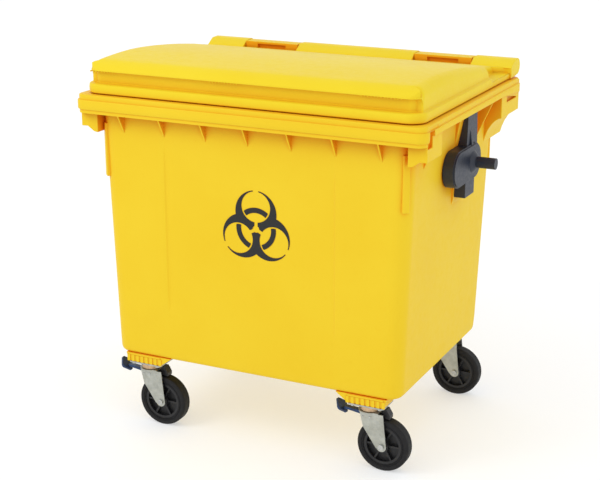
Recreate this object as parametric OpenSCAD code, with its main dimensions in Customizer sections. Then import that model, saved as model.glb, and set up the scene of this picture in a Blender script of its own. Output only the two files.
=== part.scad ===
// Four-castor wheeled waste container of the 1100 litre class: a tapered tub with a boxed rim,
// a crowned lid on a rear hinge, two side trunnions and four swivel castors, the front two braked.
// Millimetres. +Z is up and the front faces -Y. The origin is on the floor, under the middle of
// the whole object's width and depth.

/* [Rim] */
// Width over the rim band
rim_w = 1370; // [1140:5:1650]
// Depth over the rim band
rim_d = 1050; // [870:5:1270]
// Height of the rim's top face above the floor
rim_top = 1305; // [1080:5:1570]
// Height of the deep rim band at the front and back
rim_band = 70; // [50:1:90]
// Height of the shallow rim band along the sides
side_band = 40; // [30:1:48]
// Outer corner radius of the rim
rim_r = 32; // [24:1:45]
// How far the bead stands out of the rim band
bead_out = 6; // [3:1:9]
// Depth of the corner boxes below the rim's top
box_drop = 125; // [100:1:150]

/* [Tub] */
// Wall thickness of the tub, rim and lid mouldings
wall = 5; // [4:0.5:6.5]
// Step in from the rim band to the side walls, at the top
side_overhang = 62; // [50:1:75]
// Step in from the rim band to the front wall, at the top
front_overhang = 48; // [38:1:58]
// Step in from the rim band to the rear wall, at the top
rear_overhang = 98; // [80:1:118]
// How far each side wall leans in from top to bottom
side_lean = 33; // [25:1:42]
// How far the front wall leans in from top to bottom
front_lean = 8; // [4:1:12]
// How far the rear wall leans in from top to bottom
rear_lean = 30; // [22:1:38]
// Corner radius of the tub
tub_r = 60; // [48:1:75]
// Height of the feet that stand between the castor plates and the floor of the tub
foot_h = 33; // [27:1:42]

/* [Lid] */
// Height of the lid's crest above the rim
lid_rise = 129; // [105:1:155]
// Step in from the rim band to the lid's edge
lid_inset = 20; // [14:1:28]
// Clearance between the lid's edge and the rim's top
lid_gap = 3; // [2:0.5:4]

/* [Hinge] */
// Diameter of the hinge pins
pin_d = 22; // [18:0.5:26]
// Radial running clearance of the pins in the lid's hinge blocks
pin_clear = 0.08; // [0.03:0.01:0.1]
// Outer radius of the lid's hinge blocks
block_r = 32; // [27:1:37]
// Clearance between the lid's hinge blocks and the tub's hinge lugs
lug_gap = 3; // [2:0.5:4]

/* [Trunnions] */
// Diameter of the lifting pins
trunnion_d = 42; // [34:1:50]
// How far the lifting pins stand out past the rim band
trunnion_out = 65; // [54:1:78]
// Height of the lifting pins above the floor
trunnion_z = 1065; // [950:5:1120]
// Length of the shield behind each lifting pin, front to back
shield_w = 298; // [250:1:360]
// Height of the shield behind each lifting pin
shield_h = 135; // [112:1:162]

/* [Castors] */
// Wheel diameter
wheel_d = 200; // [168:2:240]
// Width of the tyre
tyre_w = 48; // [40:1:56]
// Width of the wheel's hub
hub_w = 60; // [58:1:70]
// Room between the tyre and the crown of its fork
crown_gap = 23; // [20:1:35]
// Distance from a castor's swivel axis back to its axle
trail = 58; // [48:1:68]
// Diameter of the axle bolts
axle_d = 12; // [10:1:14]
// Length of a castor's plate, side to side
plate_w = 143; // [136:1:160]
// Depth of a castor's plate, front to back
plate_d = 105; // [100:1:118]
// Diameter of the castor mounting bolts
bolt_d = 10; // [8:1:12]

/* [Hidden] */
corners = ["front_left", "front_right", "rear_left", "rear_right"];
front_corners = [corners[0], corners[1]];
sides = ["left", "right"];
function named(stem, list) = [for (n = list) str(stem, "_", n)];

round_fn = 96;
hull_fn = 32;
eps = 0.5;

// Overall depth: the hinge blocks stand out behind the rim
pin_setback = 5;
overall_d = rim_d - pin_setback + block_r + bead_out;
rim_front = -overall_d / 2 + bead_out;
rim_rear = rim_front + rim_d;
rim_mid = (rim_front + rim_rear) / 2;
pin_y = rim_rear - pin_setback;
pin_z = rim_top + block_r + 9;
rim_low = rim_top - rim_band;
side_low = rim_top - side_band;
box_low = rim_top - box_drop;

// Heights of the castors, from the tyre up to the top of the plate
crown_t = 4;
race_h = 25;
plate_t = 5;
crown_low = wheel_d + crown_gap;
crown_top = crown_low + crown_t;
plate_low = crown_top + race_h;
castor_h = plate_low + plate_t;

// Tub walls: half width, front and rear faces at the top and at the bottom
half_top = rim_w / 2 - side_overhang;
half_low = half_top - side_lean;
front_top = rim_front + front_overhang;
front_low = front_top + front_lean;
rear_top = rim_rear - rear_overhang;
rear_low = rear_top - rear_lean;
floor_z = castor_h + foot_h;
floor_round = 18;
function rise(z) = (z - floor_z) / (rim_top - floor_z);
function half_at(z) = half_low + (half_top - half_low) * rise(z);
function front_at(z) = front_low + (front_top - front_low) * rise(z);

// Corner boxes under the rim
front_box = 170;
rear_box = 225;
front_box_end = rim_front + front_box;
rear_box_start = rim_rear - rear_box;
pocket = 14;
slot_web_y = rear_box_start - 98;
web_t = 7;
gusset_count = 7;
gusset_t = 6;
gusset_h = 78;
gusset_pitch = rim_w / 8;
pad_out = 12;
pad_w = 26;
pad_low = rim_top - 315;

// Hinge: the lid's three blocks stand between and outside the tub's two lugs
pin_run = 0.01;
block_end = rim_w / 2 - 13;
lug_out = rim_w * 0.365;
lug_in = rim_w * 0.19;
lug_r = block_r - 3;
lug_top = pin_z + lug_r;
lug_front = pin_y - 55;
pin_head_r = 17;
pin_head = 8;
pin_inner = lug_in - 90;
grip_w = 130;
grip_h = 20;
grip_deep = 12;

// Lid
lid_low = rim_top + lid_gap;
lid_half = rim_w / 2 - lid_inset;
lid_front = rim_front + lid_inset;
lid_r = 60;
crest_z = rim_top + lid_rise;
crest_y = rim_front + 275;
ridge_foot_y = pin_y - 80;
ridge_foot_z = pin_z + 5;
lid_cut_y = pin_y - 66;
visor_top = rim_top + 97;
visor_low = rim_top + 85;
visor_set = 12;
groove_top = visor_low;
groove_low = rim_top + 50;
groove_set = 30;
ledge_top = rim_top + 38;
flank_y = rim_front + 750;
flank_w = 62;
flank_z = rim_top + 28;

// Castors: the feet stand close inside the tub's lower edge
castor_x = half_low - 126;
castor_front = front_low + plate_d / 2 - 1;
castor_rear = rear_low + 17 - plate_d / 2;
wheel_r = wheel_d / 2;
tyre_in = wheel_r * 0.72;
hub_r = 24;
sleeve_r = axle_d / 2 + 4;
run_clear = 0.05;
cheek_t = 4;
cheek_gap = hub_w / 2 + 1.5;
fork_low_r = 19;
ball_r = 4;
ball_ring = 28;
ball_count = 18;
race_r = 36.5;
ball_z = crown_top + ball_r + 0.02;
crown_r = 44;
kingpin_r = 8;
bolt_x = plate_w / 2 - 19;
bolt_y = plate_d / 2 - 12.5;
insert_r = bolt_d / 2 + 4;
insert_h = 24;

// Brakes: the pedal in front of the swivel axis works the shoe above the tyre
pedal_pin_x = -16;
pedal_pin_z = crown_low - 15;
shoe_pin_x = 12;
shoe_pin_z = crown_low - 14;
brake_pin_r = 3.5;
pedal_reach = 137;
lever_half = 11;

// Drain in the middle of the tub's floor
drain_r = 30;
drain_rim_r = 38;

// Lifting trunnions
trunnion_y = pin_y - 470;
trunnion_tip = rim_w / 2 + trunnion_out;
trunnion_base = rim_w / 2 - 8;
strut_y = trunnion_y + 8;
strut_w = 98;
strut_flare = 13;
strut_out = 34;
strut_top = side_low - 12;
stem_y = trunnion_y - 26;
stem_w = 98;
stem_out = 42;
stem_low = trunnion_z - 122;
shield_t = 45;
shield_y = trunnion_y - 60;
mount_face = half_at(trunnion_z) + 3;
trunnion_bolt_r = 5;
trunnion_bolts_at = [[stem_y - 25, trunnion_z - 95], [stem_y + 25, trunnion_z - 95],
                     [strut_y - 27, trunnion_z + 112], [strut_y + 27, trunnion_z + 112]];

// Hazard sign printed on the front wall
sign_x = 32;
sign_z = rim_top - 441;
sign_h = 256;
sign_t = 0.6;

// A centred rectangle with round corners
module round_rect(w, d, r) {
    square([w - 2 * r, d], center = true);
    square([w, d - 2 * r], center = true);
    for (x = [-1, 1], y = [-1, 1])
        translate([x * (w / 2 - r), y * (d / 2 - r)])
            circle(r = r, $fn = round_fn);
}

// A round-cornered slab about the rim's own centre, stepped in by inset
module rim_slab(low, high, inset) {
    translate([0, rim_mid, low])
        linear_extrude(high - low)
            round_rect(rim_w - 2 * inset, rim_d - 2 * inset, rim_r - min(inset, rim_r - 10));
}

// A bar along X whose outline is drawn in the YZ plane
module bar_x(x0, x1) {
    translate([x0, 0, 0])
        rotate([90, 0, 90])
            linear_extrude(x1 - x0)
                children();
}

// A bar along Y whose outline is drawn in the XZ plane
module bar_y(y0, y1) {
    translate([0, y1, 0])
        rotate([90, 0, 0])
            linear_extrude(y1 - y0)
                children();
}

// A round bar along Y
module rod_y(x, z, r, y0, y1) {
    translate([x, y1, z])
        rotate([90, 0, 0])
            cylinder(r = r, h = y1 - y0, $fn = round_fn);
}

// A round bar along X
module rod_x(y, z, r, x0, x1) {
    translate([x0, y, z])
        rotate([0, 90, 0])
            cylinder(r = r, h = x1 - x0, $fn = round_fn);
}

// Both sides of the object
module mirrored() {
    for (side = [0, 1])
        mirror([side, 0, 0])
            children();
}

// ---- Tub ----

// Four upright corner posts of the tub at one height
module corner_posts(z, half, front, rear, r) {
    for (x = [-1, 1], y = [front + r, rear - r])
        translate([x * (half - r), y, z])
            cylinder(r = r, h = 0.5, $fn = hull_fn);
}

// The tapered body, shrunk by t on every side and raised by t at its floor
module tub_body(t, top) {
    hull() {
        corner_posts(floor_z + t, half_low - floor_round - t, front_low + floor_round + t, rear_low - floor_round - t,
                     tub_r - floor_round);
        corner_posts(floor_z + floor_round + t, half_low - t, front_low + t, rear_low - t, tub_r - t);
        corner_posts(top - 0.5, half_top - t, front_top + t, rear_top - t, tub_r - t);
    }
}

// The rim: a top flange and a skirt, deep at the front and back and shallow along the sides
module rim() {
    difference() {
        union() {
            rim_slab(rim_low, rim_top, 0);
            rim_slab(rim_low + 15, rim_top - 20, -bead_out);
        }
        rim_slab(rim_low - eps, rim_top - wall, wall);
        for (x = [-1, 1])
            translate([x > 0 ? rim_w / 2 - 2 * wall : -rim_w / 2 - 2 * wall, front_box_end, rim_low - eps])
                cube([4 * wall, rear_box_start - front_box_end, side_low - rim_low + eps]);
    }
}

// Outline of a corner box and its bracket, from the side wall out to the rim: a straight bracket
// under the front boxes and a hollow curve under the rear ones
module box_outline(reach, curved) {
    inner = half_at(box_low) - 8;
    outer = rim_w / 2;
    foot = 22;
    run = outer - foot - inner;
    polygon(concat(
        [[inner, rim_top - wall], [outer, rim_top - wall], [outer, box_low]],
        curved
            ? [for (a = [0:15:90]) [outer - run * sin(a) - foot * (1 - cos(a)), box_low - reach * (1 - cos(a))]]
            : [[outer - 35, box_low], [inner + run / 3, box_low - reach], [inner, box_low - reach]]
    ));
}

// One corner box on the right side, hollow from below, with a deep pocket in its outer face
// and a wedge-shaped one above it
module corner_box(y0, y1, reach, curved, low, high, wedge) {
    difference() {
        bar_y(y0, y1) box_outline(reach, curved);
        translate([half_top + 8, y0 + 2 * wall, box_low - reach - eps])
            cube([rim_w / 2 - half_top - 8 - pocket - wall, y1 - y0 - 4 * wall, box_drop + reach - 2 * wall]);
        translate([rim_w / 2 - pocket, low[0], low[1]])
            cube([pocket + eps, high[0] - low[0], high[1] - low[1]]);
        if (len(wedge) > 0)
            bar_x(rim_w / 2 - pocket, rim_w / 2 + bead_out + eps)
                polygon(wedge);
    }
}

// Thin ribs that stiffen the rim's overhang along the front and the back
module gussets() {
    front_wall = front_at(rim_low) + 3;
    for (k = [0:gusset_count - 1]) {
        x = (k - (gusset_count - 1) / 2) * gusset_pitch;
        bar_x(x - gusset_t / 2, x + gusset_t / 2)
            polygon([[front_wall, rim_top - wall], [rim_front + wall - 1, rim_top - wall], [rim_front + wall - 1, rim_low],
                     [front_wall, rim_low - gusset_h]]);
        bar_x(x - gusset_t / 2, x + gusset_t / 2)
            polygon([[rear_top - 6, rim_top - wall], [rim_rear - wall + 1, rim_top - wall], [rim_rear - wall + 1, rim_low],
                     [rear_top - 6, rim_low - gusset_h]]);
    }
}

// Upright pads on the four corners below the boxes
module corner_pads() {
    for (x = [-1, 1], y = [-1, 1]) {
        px = x * (half_at(pad_low) - tub_r);
        py = y < 0 ? front_at(pad_low) + tub_r : rear_top - rear_lean * (1 - rise(pad_low)) - tub_r;
        translate([px, py, pad_low])
            rotate(atan2(y, x))
                translate([tub_r - 12, -pad_w / 2, 0])
                    cube([12 + pad_out, pad_w, box_low - pad_low + 14]);
    }
}

// A fluted foot under one corner, wider at the top than the castor plate that it carries
module foot(x, y) {
    flare_in = 47;
    flare_out = min(10, half_low - floor_round - castor_x - plate_w / 2);
    flute = 9;
    top = foot_h + 2;
    translate([x * castor_x, y, castor_h])
        difference() {
            bar_y(-plate_d / 2, plate_d / 2)
                polygon([[-plate_w / 2, 0], [plate_w / 2, 0], [plate_w / 2 + (x > 0 ? flare_out : flare_in), top],
                         [-plate_w / 2 - (x > 0 ? flare_in : flare_out), top]]);
            for (k = [-3:3])
                translate([k * 20 - flute / 2, y < 0 ? -plate_d / 2 - eps : plate_d / 2 - 4, -eps])
                    cube([flute, 4 + eps, foot_h - 4]);
            translate([0, 0, -eps])
                cylinder(r = kingpin_r + 6, h = 16, $fn = round_fn);
            for (bx = [-1, 1], by = [-1, 1])
                translate([bx * bolt_x, by * bolt_y, -eps])
                    cylinder(r = insert_r, h = insert_h + eps, $fn = round_fn);
        }
}

// A hinge lug on the rear rim, with a blind grip slot in its front face
module hinge_lug(x0, x1) {
    mid = (x0 + x1) / 2;
    difference() {
        bar_x(x0, x1) {
            polygon([[lug_front, rim_top - wall], [lug_front, lug_top - 4], [lug_front + 4, lug_top], [pin_y, lug_top],
                     [pin_y, rim_top - wall]]);
            translate([pin_y, pin_z])
                circle(r = lug_r, $fn = round_fn);
            translate([pin_y - 20, rim_top - wall])
                square([20 + pin_setback, pin_z - rim_top]);
        }
        bar_y(lug_front - eps, lug_front + grip_deep)
            polygon([[mid - grip_w / 2, lug_top - 10], [mid + grip_w / 2, lug_top - 10],
                     [mid + grip_w / 2 - 14, lug_top - 10 - grip_h], [mid - grip_w / 2 + 14, lug_top - 10 - grip_h]]);
        rod_x(pin_y, pin_z, pin_d / 2 + pin_run, x0 - eps, x1 + eps);
    }
}

// Upright webs and the raised panel behind each trunnion, on the right side wall
module side_ribs() {
    wall_x = half_at(side_low) - 8;
    for (y = [slot_web_y, front_box_end + 8])
        bar_y(y, y + web_t)
            polygon([[wall_x, rim_top - wall], [rim_w / 2 - 1, rim_top - wall], [rim_w / 2 - 1, side_low],
                     [half_at(box_low - 60), box_low - 60], [wall_x - 8, box_low - 60]]);
    bar_y(trunnion_y - 82, trunnion_y + 88)
        polygon([[wall_x - 4, rim_top - wall], [mount_face + 20, rim_top - wall], [mount_face + 20, side_low - 20],
                 [mount_face, trunnion_z + shield_h / 2], [mount_face, stem_low - 6], [half_at(stem_low - 30), stem_low - 30],
                 [wall_x - 12, stem_low - 30]]);
}

module tub() {
    color("gold")
        difference() {
            union() {
                tub_body(0, rim_top);
                rim();
                mirrored() {
                    corner_box(rim_front + 12, front_box_end, 20, false,
                               [front_box_end - 150, box_low + 45], [front_box_end - 90, side_low + 22], []);
                    corner_box(rear_box_start, rim_rear - 12, 100, true,
                               [rim_rear - 162, box_low + 52], [rim_rear - 46, side_low - 2],
                               [[rim_rear - 162, side_low + 8], [rim_rear - 54, side_low + 10],
                                [rim_rear - 54, side_low + 26]]);
                    hinge_lug(lug_in, lug_out);
                    side_ribs();
                }
                gussets();
                corner_pads();
                for (x = [-1, 1], y = [castor_front, castor_rear])
                    foot(x, y);
                translate([0, rim_mid, floor_z - 8])
                    cylinder(r = drain_rim_r + 10, h = 12, $fn = round_fn);
            }
            tub_body(wall, rim_top + eps);
            translate([0, rim_mid, floor_z - 8 - eps])
                cylinder(r = drain_r, h = 20, $fn = round_fn);
            mirrored()
                for (p = trunnion_bolts_at)
                    rod_x(p[0], p[1], trunnion_bolt_r, half_low - 20, mount_face + 30);
        }
}

// ---- Lid ----

// Height of the crowned top at any depth: a short fall to the visor and a long one to the hinge
function crown(y) = y < crest_y
    ? crest_z - (crest_z - visor_top - 16) * pow((crest_y - y) / (crest_y - lid_front - visor_set), 2)
    : crest_z - (crest_z - ridge_foot_z) * pow((y - crest_y) / (ridge_foot_y - crest_y), 1.6);

// Side view of the lid, stepped in by t: ledge, groove under the visor, visor and crowned top
module lid_outline(t) {
    steps = 14;
    visor_y = lid_front + visor_set;
    low = t > 0 ? lid_low - eps : lid_low;
    polygon(concat(
        [[lid_front + t, low], [lid_front + t, ledge_top - t / 2], [lid_front + groove_set + t, groove_low - t / 2],
         [lid_front + groove_set + t, groove_top + t / 2], [visor_y + t * 2, visor_low + t], [visor_y + t * 2, visor_top - t]],
        [for (k = [1:steps])
            let (y = visor_y + (ridge_foot_y - visor_y) * k / steps)
            [y, crown(y) - t]],
        [[lid_cut_y - t, ridge_foot_z - t], [lid_cut_y - t, low]]
    ));
}

// Plan of the lid, stepped in by t
module lid_plan(t) {
    depth = lid_cut_y - lid_front;
    translate([0, lid_front + depth / 2, 0])
        linear_extrude(crest_z + 10)
            intersection() {
                round_rect(2 * lid_half - 2 * t, depth + 2 * lid_r - 2 * t, lid_r - t);
                translate([-lid_half, -depth / 2])
                    square([2 * lid_half, depth]);
            }
}

// A hinge block: the rounded ridge above the pin and the web that joins it to the lid
module lid_block(x0, x1) {
    difference() {
        bar_x(x0, x1) {
            translate([pin_y, pin_z])
                circle(r = block_r, $fn = round_fn);
            polygon([[lid_cut_y - 2 * wall, lid_low], [pin_y - 12, lid_low + 4], [pin_y, pin_z - block_r + 4],
                     [pin_y, pin_z + block_r], [pin_y - 40, pin_z + block_r - 2], [ridge_foot_y, ridge_foot_z],
                     [lid_cut_y - 2 * wall, ridge_foot_z - 2]]);
        }
        rod_x(pin_y, pin_z, pin_d / 2 + pin_clear, x0 - eps, x1 + eps);
    }
}

// The low shoulders at both rear corners of the lid
module lid_flanks(extra) {
    for (x = [-1, 1])
        translate([x > 0 ? lid_half - flank_w - extra : -lid_half - eps, flank_y - extra, flank_z - extra])
            cube([flank_w + extra + eps, lid_cut_y - flank_y + extra + eps, crest_z]);
}

module lid() {
    color("yellow")
        difference() {
            union() {
                difference() {
                    intersection() {
                        bar_x(-lid_half, lid_half) lid_outline(0);
                        lid_plan(0);
                    }
                    lid_flanks(0);
                    difference() {
                        intersection() {
                            bar_x(-lid_half + wall, lid_half - wall) lid_outline(wall);
                            translate([0, 0, -eps]) lid_plan(wall);
                        }
                        lid_flanks(wall);
                    }
                }
                lid_block(-lug_in + lug_gap, lug_in - lug_gap);
                mirrored()
                    lid_block(lug_out + lug_gap, block_end);
            }
            mirrored()
                rod_x(pin_y, pin_z, pin_head_r + 1, block_end - pin_head, block_end + eps);
        }
}

// ---- Hinge pins ----

module hinge_pin() {
    color("saddlebrown") {
        rod_x(pin_y, pin_z, pin_d / 2, pin_inner, block_end - pin_head + 1);
        rod_x(pin_y, pin_z, pin_head_r, block_end - pin_head + 0.5, block_end - 2);
    }
}

// ---- Hazard sign: three open horned rings and an inner ring, set out on a square grid of units ----

module sign_shape() {
    unit = sign_h / 46.5;
    difference() {
        for (a = [0:120:240])
            rotate(a)
                translate([0, 11 * unit])
                    circle(r = 15 * unit, $fn = round_fn);
        for (a = [0:120:240])
            rotate(a) {
                translate([0, 15 * unit])
                    circle(r = 10.5 * unit, $fn = round_fn);
                translate([-2 * unit, 20 * unit])
                    square([4 * unit, 8 * unit]);
                translate([-1.2 * unit, 0])
                    square([2.4 * unit, 6 * unit]);
            }
        circle(r = 2.4 * unit, $fn = round_fn);
    }
    intersection() {
        difference() {
            circle(r = 14.5 * unit, $fn = round_fn);
            circle(r = 11 * unit, $fn = round_fn);
        }
        for (a = [0:120:240])
            rotate(a)
                translate([0, 15 * unit])
                    circle(r = 9.5 * unit, $fn = round_fn);
    }
}

module hazard_sign() {
    lean = atan(front_lean / (rim_top - floor_z));
    color([0.08, 0.08, 0.08])
        translate([sign_x, front_at(sign_z) - sign_t - 0.1, sign_z])
            rotate([90 + lean, 0, 0])
                translate([0, 0, -sign_t / 2])
                    linear_extrude(sign_t)
                        sign_shape();
}

// ---- Drain ----

module drain_plug() {
    color("gold")
        translate([0, rim_mid, floor_z - 18]) {
            cylinder(r = drain_rim_r, h = 7, $fn = round_fn);
            translate([0, 0, 6])
                cylinder(r = drain_r - run_clear, h = 16, $fn = round_fn);
            translate([-4, -drain_rim_r + 6, -8])
                cube([8, 2 * drain_rim_r - 12, 9]);
        }
}

module drain_seal() {
    color([0.15, 0.15, 0.16])
        translate([0, rim_mid, floor_z - 11])
            difference() {
                cylinder(r = drain_rim_r, h = 3, $fn = round_fn);
                translate([0, 0, -eps])
                    cylinder(r = drain_r + 0.5, h = 3 + 2 * eps, $fn = round_fn);
            }
}

// ---- Trunnions: a strut, a stadium shield, a cone and the lifting pin ----

module trunnion() {
    back = mount_face;
    face = back + shield_t;
    color([0.14, 0.15, 0.17])
        difference() {
            union() {
                translate([back, stem_y - stem_w / 2, stem_low])
                    cube([stem_out, stem_w, trunnion_z - stem_low]);
                difference() {
                    bar_x(back, back + strut_out)
                        polygon([[strut_y - strut_w / 2 - strut_flare, trunnion_z], [strut_y + strut_w / 2 + strut_flare, trunnion_z],
                                 [strut_y + strut_w / 2, strut_top], [strut_y - strut_w / 2, strut_top]]);
                    bar_y(trunnion_y - strut_w, trunnion_y + strut_w)
                        polygon([[back - 1, trunnion_z + shield_h / 2], [back, trunnion_z + shield_h / 2],
                                 [back + 20, side_low - 20], [back + 20, rim_top], [back - 1, rim_top]]);
                }
                translate([back, shield_y, trunnion_z])
                    rotate([90, 0, 90]) {
                        linear_extrude(shield_t - 5)
                            round_rect(shield_w, shield_h, shield_h / 2 - 1);
                        linear_extrude(shield_t)
                            round_rect(shield_w - 10, shield_h - 10, shield_h / 2 - 6);
                    }
                translate([face - 1, trunnion_y, trunnion_z])
                    rotate([0, 90, 0])
                        cylinder(r1 = shield_h / 2 - 24, r2 = trunnion_d / 2 + 5, h = trunnion_base - face + 1, $fn = round_fn);
                rod_x(trunnion_y, trunnion_z, trunnion_d / 2, trunnion_base - 1, trunnion_tip);
                bar_y(trunnion_y - 14, trunnion_y + 2)
                    polygon([[back + strut_out - 2, trunnion_z + 140], [face - 3, trunnion_z + shield_h / 2 - 6],
                             [face - 3, trunnion_z], [back + strut_out - 2, trunnion_z]]);
            }
            for (p = trunnion_bolts_at)
                rod_x(p[0], p[1], trunnion_bolt_r, back - eps, back + strut_out - 8);
        }
}

// Bolts driven from inside the tub into blind holes in the trunnions; their flat heads stand
// just off the wall's leaning inner face
module trunnion_bolts() {
    head_h = 6;
    head_off = 0.4;
    head_r = trunnion_bolt_r + 5;
    color("silver")
        mirrored()
            for (p = trunnion_bolts_at) {
                inner = half_at(p[1] - head_r) - wall - head_off;
                rod_x(p[0], p[1], trunnion_bolt_r, inner - 1, mount_face + strut_out - 9);
                rod_x(p[0], p[1], head_r, inner - head_h, inner);
            }
}

// ---- Castors ----

function castor_at(k) = [k % 2 == 0 ? -castor_x : castor_x, k < 2 ? castor_front : castor_rear, 0];

module at_castor(k) {
    translate(castor_at(k))
        children();
}

module castor_plate() {
    color("silver")
        difference() {
            translate([0, 0, plate_low])
                linear_extrude(plate_t)
                    round_rect(plate_w, plate_d, 12);
            for (x = [-1, 1], y = [-1, 1])
                translate([x * bolt_x, y * bolt_y, plate_low - eps])
                    cylinder(r = bolt_d / 2, h = plate_t + 2 * eps, $fn = round_fn);
            translate([0, 0, plate_low - eps])
                cylinder(r = kingpin_r, h = plate_t + 2 * eps, $fn = round_fn);
        }
}

module castor_bolts() {
    head_h = 6;
    color("silver")
        for (k = [0:3])
            at_castor(k)
                for (x = [-1, 1], y = [-1, 1])
                    translate([x * bolt_x, y * bolt_y, 0]) {
                        translate([0, 0, plate_low - head_h])
                            cylinder(r = bolt_d * 0.87, h = head_h, $fn = 6);
                        translate([0, 0, plate_low - 1])
                            cylinder(r = bolt_d / 2, h = plate_t + insert_h - 4, $fn = round_fn);
                    }
}

module castor_inserts() {
    color("goldenrod")
        for (k = [0:3])
            at_castor(k)
                for (x = [-1, 1], y = [-1, 1])
                    translate([x * bolt_x, y * bolt_y, castor_h])
                        difference() {
                            cylinder(r = insert_r, h = insert_h, $fn = round_fn);
                            translate([0, 0, -eps])
                                cylinder(r = bolt_d / 2, h = insert_h - 3, $fn = round_fn);
                        }
}

// The fixed upper race, pressed up against the plate
module race_ring() {
    color("sienna")
        difference() {
            translate([0, 0, crown_top + 1.2])
                cylinder(r = race_r, h = plate_low - crown_top - 1.2, $fn = round_fn);
            translate([0, 0, crown_top])
                cylinder(r = kingpin_r + 3, h = plate_low - crown_top + eps, $fn = round_fn);
            translate([0, 0, ball_z])
                rotate_extrude($fn = round_fn)
                    translate([ball_ring, 0])
                        circle(r = ball_r + 0.03, $fn = 48);
            translate([0, 0, crown_top])
                difference() {
                    cylinder(r = ball_ring + ball_r * 0.8, h = ball_z - crown_top, $fn = round_fn);
                    translate([0, 0, -eps])
                        cylinder(r = ball_ring - ball_r * 0.8, h = ball_z - crown_top + 2 * eps, $fn = round_fn);
                }
        }
}

module swivel_balls() {
    color("gainsboro")
        for (k = [0:ball_count - 1])
            rotate(k * 360 / ball_count)
                translate([ball_ring, 0, ball_z])
                    sphere(r = ball_r, $fn = 32);
}

// The rivet that holds the fork's crown up against the balls
module kingpin() {
    color("silver") {
        translate([0, 0, crown_low - 5])
            cylinder(r = kingpin_r + 5, h = 4.9, $fn = round_fn);
        translate([0, 0, crown_low - 1])
            cylinder(r = kingpin_r, h = castor_h - crown_low + 4, $fn = round_fn);
        translate([0, 0, castor_h])
            cylinder(r = kingpin_r + 4, h = 4, $fn = round_fn);
    }
}

// Outline of a fork cheek: broad at the crown, round about the axle
module cheek_outline(r) {
    top = crown_low + 1;
    lean = [trail - 20, wheel_r - 8];
    polygon([[-28, top], [-14, top - 56], lean, [trail, wheel_r], [trail + r, wheel_r], [trail + 5, top]]);
    translate([trail, wheel_r])
        circle(r = r, $fn = round_fn);
}

module fork(braked) {
    color("lightslategray")
        difference() {
            union() {
                translate([0, 0, crown_low])
                    cylinder(r = crown_r, h = crown_t, $fn = round_fn);
                translate([-28, -cheek_gap - cheek_t, crown_low])
                    cube([crown_r + 28, 2 * cheek_gap + 2 * cheek_t, crown_t]);
                for (y = [-cheek_gap - cheek_t, cheek_gap])
                    bar_y(y, y + cheek_t)
                        cheek_outline(fork_low_r);
            }
            translate([0, 0, crown_low - eps])
                cylinder(r = kingpin_r + run_clear, h = crown_t + 2 * eps, $fn = round_fn);
            rod_y(trail, wheel_r, axle_d / 2, -cheek_gap - cheek_t - eps, cheek_gap + cheek_t + eps);
            if (braked)
                for (pin = [[pedal_pin_x, pedal_pin_z], [shoe_pin_x, shoe_pin_z]])
                    rod_y(pin[0], pin[1], brake_pin_r, -cheek_gap - cheek_t - eps, cheek_gap + cheek_t + eps);
        }
}

module axle_bolt() {
    out = cheek_gap + cheek_t;
    color("silver") {
        rod_y(trail, wheel_r, axle_d / 2, -out - 1, out + 14);
        rod_y(trail, wheel_r, axle_d * 0.9, -out - 7, -out);
    }
}

module axle_nut() {
    out = cheek_gap + cheek_t;
    color("silver")
        difference() {
            translate([trail, out + 9.5, wheel_r])
                rotate([90, 0, 0])
                    cylinder(r = axle_d * 0.9, h = 9.5, $fn = 6);
            rod_y(trail, wheel_r, axle_d / 2, out - eps, out + 10);
        }
}

module axle_sleeve() {
    color("gray")
        difference() {
            rod_y(trail, wheel_r, sleeve_r, -cheek_gap, cheek_gap);
            rod_y(trail, wheel_r, axle_d / 2, -cheek_gap - eps, cheek_gap + eps);
        }
}

// Wheel centre: hub, web, rim and ribs on both faces
module wheel_centre() {
    ribs = 6;
    rim_in = tyre_in - 9;
    color([0.12, 0.12, 0.13])
        translate([trail, 0, wheel_r])
            rotate([90, 0, 0])
                difference() {
                    union() {
                        cylinder(r = hub_r, h = hub_w, center = true, $fn = round_fn);
                        cylinder(r = rim_in + 1, h = 8, center = true, $fn = round_fn);
                        difference() {
                            cylinder(r = tyre_in, h = tyre_w - 6, center = true, $fn = round_fn);
                            cylinder(r = rim_in, h = tyre_w, center = true, $fn = round_fn);
                        }
                        for (a = [0:ribs - 1])
                            rotate(a * 360 / ribs)
                                translate([hub_r - 2, -3.5, -tyre_w / 2 + 6])
                                    cube([rim_in - hub_r + 3, 7, tyre_w - 12]);
                    }
                    cylinder(r = sleeve_r + run_clear, h = hub_w + 2, center = true, $fn = round_fn);
                }
}

// Solid tyre: a flat tread with rounded shoulders and a groove in each side
module tyre() {
    shoulder = 9;
    color([0.1, 0.1, 0.11])
        translate([trail, 0, wheel_r])
            rotate([90, 0, 0])
                rotate_extrude($fn = round_fn)
                    difference() {
                        union() {
                            translate([tyre_in, -tyre_w / 2 + 3])
                                square([wheel_r - tyre_in - shoulder, tyre_w - 6]);
                            translate([tyre_in + 5, -tyre_w / 2])
                                square([wheel_r - tyre_in - 5 - shoulder, tyre_w]);
                            translate([wheel_r - shoulder - 1, -tyre_w / 2 + shoulder])
                                square([shoulder + 1, tyre_w - 2 * shoulder]);
                            for (y = [-1, 1])
                                translate([wheel_r - shoulder, y * (tyre_w / 2 - shoulder)])
                                    circle(r = shoulder, $fn = 48);
                        }
                        for (y = [-1, 1])
                            translate([tyre_in + 9, y * tyre_w / 2])
                                circle(r = 2, $fn = 24);
                    }
}

// ---- Brakes ----

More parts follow.
